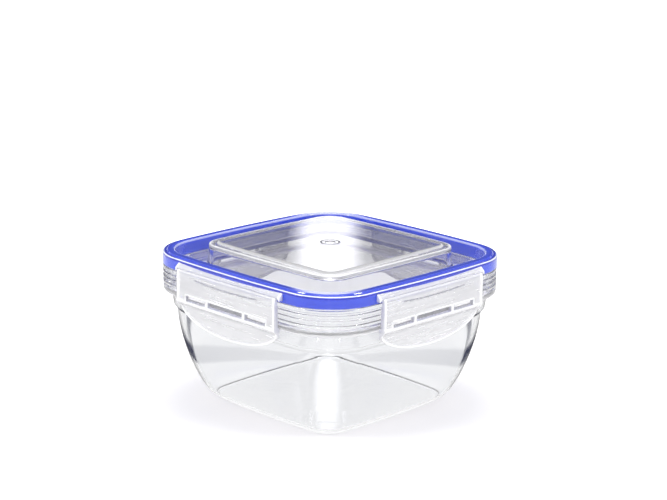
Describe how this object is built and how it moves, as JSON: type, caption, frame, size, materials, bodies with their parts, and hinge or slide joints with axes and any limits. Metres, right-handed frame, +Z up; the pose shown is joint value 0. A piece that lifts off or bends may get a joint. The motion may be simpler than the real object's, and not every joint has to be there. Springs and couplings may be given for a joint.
{
  "type": "square storage container",
  "caption": "Square clear food container with a bowl-like curved base, a clip-on lid with a coloured rim and raised clear middle, and a hinged latch on each side.",
  "frame": {"origin": "middle of the foot's flat underside, where the container stands", "axes": "+Z up through the lid; X and Y square to the four sides, so -Y is the front latch and +X the right one"},
  "size_m": [0.1554, 0.1554, 0.0891],
  "materials": {
    "clear_bowl": "clear, polished",
    "clear_panel": "clear, polished",
    "blue_rim": "slightly see-through blue, glossy",
    "seal": "soft, matt",
    "latch_plastic": "natural, frosted, slightly see-through"
  },
  "bodies": {
    "bowl": {"bowl": "clear_bowl"},
    "lid": {"lid_panel": "clear_panel", "lid_rim": "blue_rim", "gasket": "seal", "latch_strip_front": "latch_plastic", "latch_strip_right": "latch_plastic", "latch_strip_back": "latch_plastic", "latch_strip_left": "latch_plastic"},
    "latch_front": {"latch_flap_front": "latch_plastic"},
    "latch_right": {"latch_flap_right": "latch_plastic"},
    "latch_back": {"latch_flap_back": "latch_plastic"},
    "latch_left": {"latch_flap_left": "latch_plastic"}
  },
  "joints": [
    {"name": "lid_lift", "type": "slide", "parent": "bowl", "child": "lid", "axis": [0, 0, 1], "range_m": [0, 0.025]},
    {"name": "latch_hinge_front", "type": "hinge", "parent": "lid", "child": "latch_front", "pos_m": [0, -0.0766, 0.0794], "axis": [-1, 0, 0], "range_deg": [0, 120]},
    {"name": "latch_hinge_right", "type": "hinge", "parent": "lid", "child": "latch_right", "pos_m": [0.0766, 0, 0.0794], "axis": [0, -1, 0], "range_deg": [0, 120]},
    {"name": "latch_hinge_back", "type": "hinge", "parent": "lid", "child": "latch_back", "pos_m": [0, 0.0766, 0.0794], "axis": [1, 0, 0], "range_deg": [0, 120]},
    {"name": "latch_hinge_left", "type": "hinge", "parent": "lid", "child": "latch_left", "pos_m": [-0.0766, 0, 0.0794], "axis": [0, 1, 0], "range_deg": [0, 120]}
  ],
  "couplings": [
    {"joint": "latch_hinge_front", "follows": "lid_lift", "rad_per_m": 83.77},
    {"joint": "latch_hinge_right", "follows": "lid_lift", "rad_per_m": 83.77},
    {"joint": "latch_hinge_back", "follows": "lid_lift", "rad_per_m": 83.77},
    {"joint": "latch_hinge_left", "follows": "lid_lift", "rad_per_m": 83.77}
  ]
}
